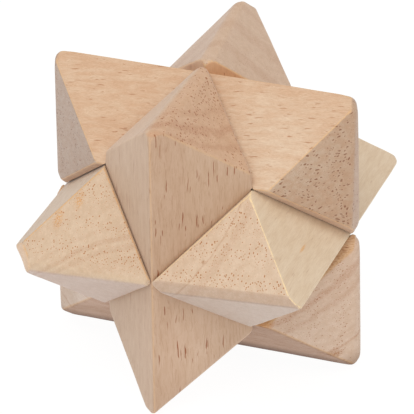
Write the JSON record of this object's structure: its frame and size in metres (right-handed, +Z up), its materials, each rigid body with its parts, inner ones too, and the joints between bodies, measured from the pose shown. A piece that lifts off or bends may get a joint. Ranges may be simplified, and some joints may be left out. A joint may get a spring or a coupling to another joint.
{
  "type": "star burr puzzle",
  "caption": "Interlocking wooden star puzzle: crossed, notched square sticks with pointed ends that slide apart along its body diagonals.",
  "frame": {"origin": "on the surface that the star stands on, straight below its centre", "axes": "+Z up, along the front and back sticks; +X along the top and bottom sticks, towards the right stick's ridge; +Y along the left and right sticks, towards the back stick's ridge"},
  "size_m": [0.0596, 0.0588, 0.0594],
  "materials": {
    "wood_bottom": "sanded, unfinished",
    "wood_left": "sanded, unfinished",
    "wood_front": "sanded, unfinished",
    "wood_back": "sanded, unfinished",
    "wood_right": "sanded, unfinished",
    "wood_top": "sanded, unfinished"
  },
  "bodies": {
    "bottom": {"bottom_piece": "wood_bottom"},
    "left": {"left_piece": "wood_left"},
    "front": {"front_piece": "wood_front"},
    "back": {"back_piece": "wood_back"},
    "right": {"right_piece": "wood_right"},
    "top": {"top_piece": "wood_top"}
  },
  "joints": [
    {"name": "back_right_top_slide", "type": "slide", "parent": "bottom", "child": "back", "axis": [0.5774, 0.5774, 0.5774], "range_m": [0, 0.036]},
    {"name": "left_front_top_slide", "type": "slide", "parent": "bottom", "child": "left", "axis": [-0.5774, -0.5774, 0.5774], "range_m": [0, 0.036]},
    {"name": "right_front_top_slide", "type": "slide", "parent": "back", "child": "right", "axis": [0.5774, -0.5774, 0.5774], "range_m": [0, 0.036]},
    {"name": "top_slide", "type": "slide", "parent": "right", "child": "top", "axis": [-0.5774, -0.5774, 0.5774], "range_m": [0, 0.036]},
    {"name": "front_slide", "type": "slide", "parent": "left", "child": "front", "axis": [0.5774, -0.5774, 0.5774], "range_m": [0, 0.036]}
  ],
  "couplings": [
    {"joint": "top_slide", "follows": "left_front_top_slide", "ratio": 1},
    {"joint": "front_slide", "follows": "right_front_top_slide", "ratio": 1}
  ]
}
